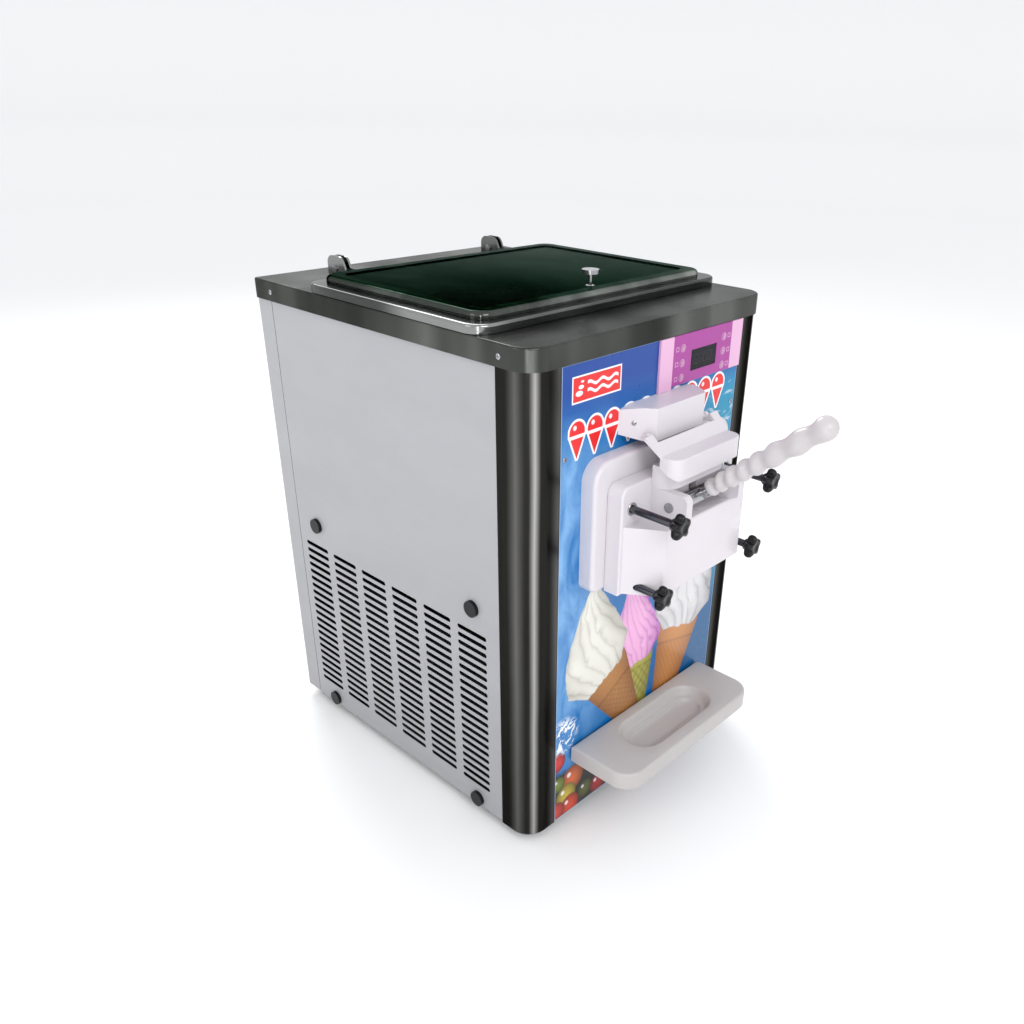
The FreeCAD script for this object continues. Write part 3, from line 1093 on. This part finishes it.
def compressor():
    centre = ("compressor_x", "compressor_y")
    base = slab("compressor_plate", ("compressor_x - compressor_foot", "compressor_x + compressor_foot"),
                ("compressor_y - compressor_foot", "compressor_y + compressor_foot"),
                ("sheet_metal", "sheet_metal + compressor_base"), "compressor_round")
    shell = cylinder("compressor_shell", "z", centre, ("compressor_base", "dome_low + 1"),
                     "compressor_radius")
    dome = doc.addObject("Part::Sphere", "compressor_dome")
    bind(dome, Radius="compressor_radius", Angle1=0, Angle2=90)
    home(dome, *centre, "dome_low")
    piece("compressor", fuse("compressor_body", base, shell, dome))


def pipe_run(points, radius):
    """Straight runs joined by tangent arcs, swept with a round section."""
    bend = size("pipe_bend")
    edges, start = [], points[0]
    for before, corner, after in zip(points, points[1:], points[2:]):
        into = (corner - before).normalize()
        out = (after - corner).normalize()
        turn = into.getAngle(out)
        trim = bend * math.tan(turn / 2)
        first, last = corner - into * trim, corner + out * trim
        inward = (out - into).normalize()
        middle = corner + inward * (bend / math.cos(turn / 2) - bend)
        edges.append(Part.makeLine(start, first))
        edges.append(Part.Arc(first, middle, last).toShape())
        start = last
    edges.append(Part.makeLine(start, points[-1]))
    section = Part.Wire(Part.makeCircle(radius, points[0], points[1] - points[0]))
    return Part.Wire(edges).makePipeShell([section], True, False)


def refrigerant_pipes():
    """Suction and liquid lines between compressor, cylinder jacket and condenser."""
    radius = size("pipe_radius")
    x, y, top = size("compressor_x"), size("compressor_y"), size("dome_low + compressor_radius")
    jacket = size("axis_high - jacket_radius")
    fin = size("condenser_left + condenser_thick / 2")
    roof = size("condenser_high")
    bridge = top + size("suction_rise")
    suction = [Vector(x, y, top), Vector(x, y, bridge), Vector(0, y, bridge), Vector(0, y, jacket)]
    bridge, lead, entry = roof + size("liquid_rise"), y + size("liquid_lead"), size("liquid_x")
    drop = size("axis_high") - math.sqrt(size("jacket_radius") ** 2 - entry ** 2)
    liquid = [Vector(fin, lead, roof), Vector(fin, lead, bridge), Vector(entry, lead, bridge),
              Vector(entry, lead, drop - radius)]
    runs = [solid_feature(f"pipe_{number}", pipe_run(points, radius))
            for number, points in enumerate((suction, liquid))]
    piece("refrigerant_pipes", group("pipes", *runs))


# ---------------------------------------------------------------- assembly
def build():
    for make in (base_pan, rubber_feet, corner_posts, front_sheets, side_panels, rear_panel, cable_gland,
                 panel_plugs, top_cover, hopper, hopper_lid, hinge_brackets, control_panel, head_plate,
                 door_gasket, dispensing_door, clamp_studs, star_knobs, lever_pin, draw_lever, plunger,
                 spout_nozzle, feed_chute, lid_bracket, feed_lid, drip_tray, tray_hooks,
                 freezing_cylinder, beater, drive, condenser_and_fan, compressor, refrigerant_pipes):
        make()
    for item in pieces:
        x, y, z = homes[item.Name]
        home(item, x, f"{y} + frame_shift", f"{z} + foot_height")
    doc.recompute()


def check():
    for item in doc.Objects:
        if "Invalid" in item.State or "Error" in item.State:
            raise RuntimeError(f"{item.Label} failed: {item.State}")
    for item in pieces:
        shape = item.Shape
        if shape.isNull() or not shape.isValid() or not shape.Solids:
            raise RuntimeError(f"{item.Label} has no valid solid")


def export():
    for item in pieces:
        item.Shape.exportStep(f"parts/{item.Label}.step")
        bounds = item.Shape.BoundBox
        print(f"{item.Label:22s} solids {len(item.Shape.Solids):3d}  volume {item.Shape.Volume / 1000:9.2f} cm3"
              f"  x {bounds.XMin:7.1f} {bounds.XMax:7.1f}  y {bounds.YMin:7.1f} {bounds.YMax:7.1f}"
              f"  z {bounds.ZMin:6.1f} {bounds.ZMax:6.1f}")


build()
check()
export()
print(f"{len(pieces)} pieces")
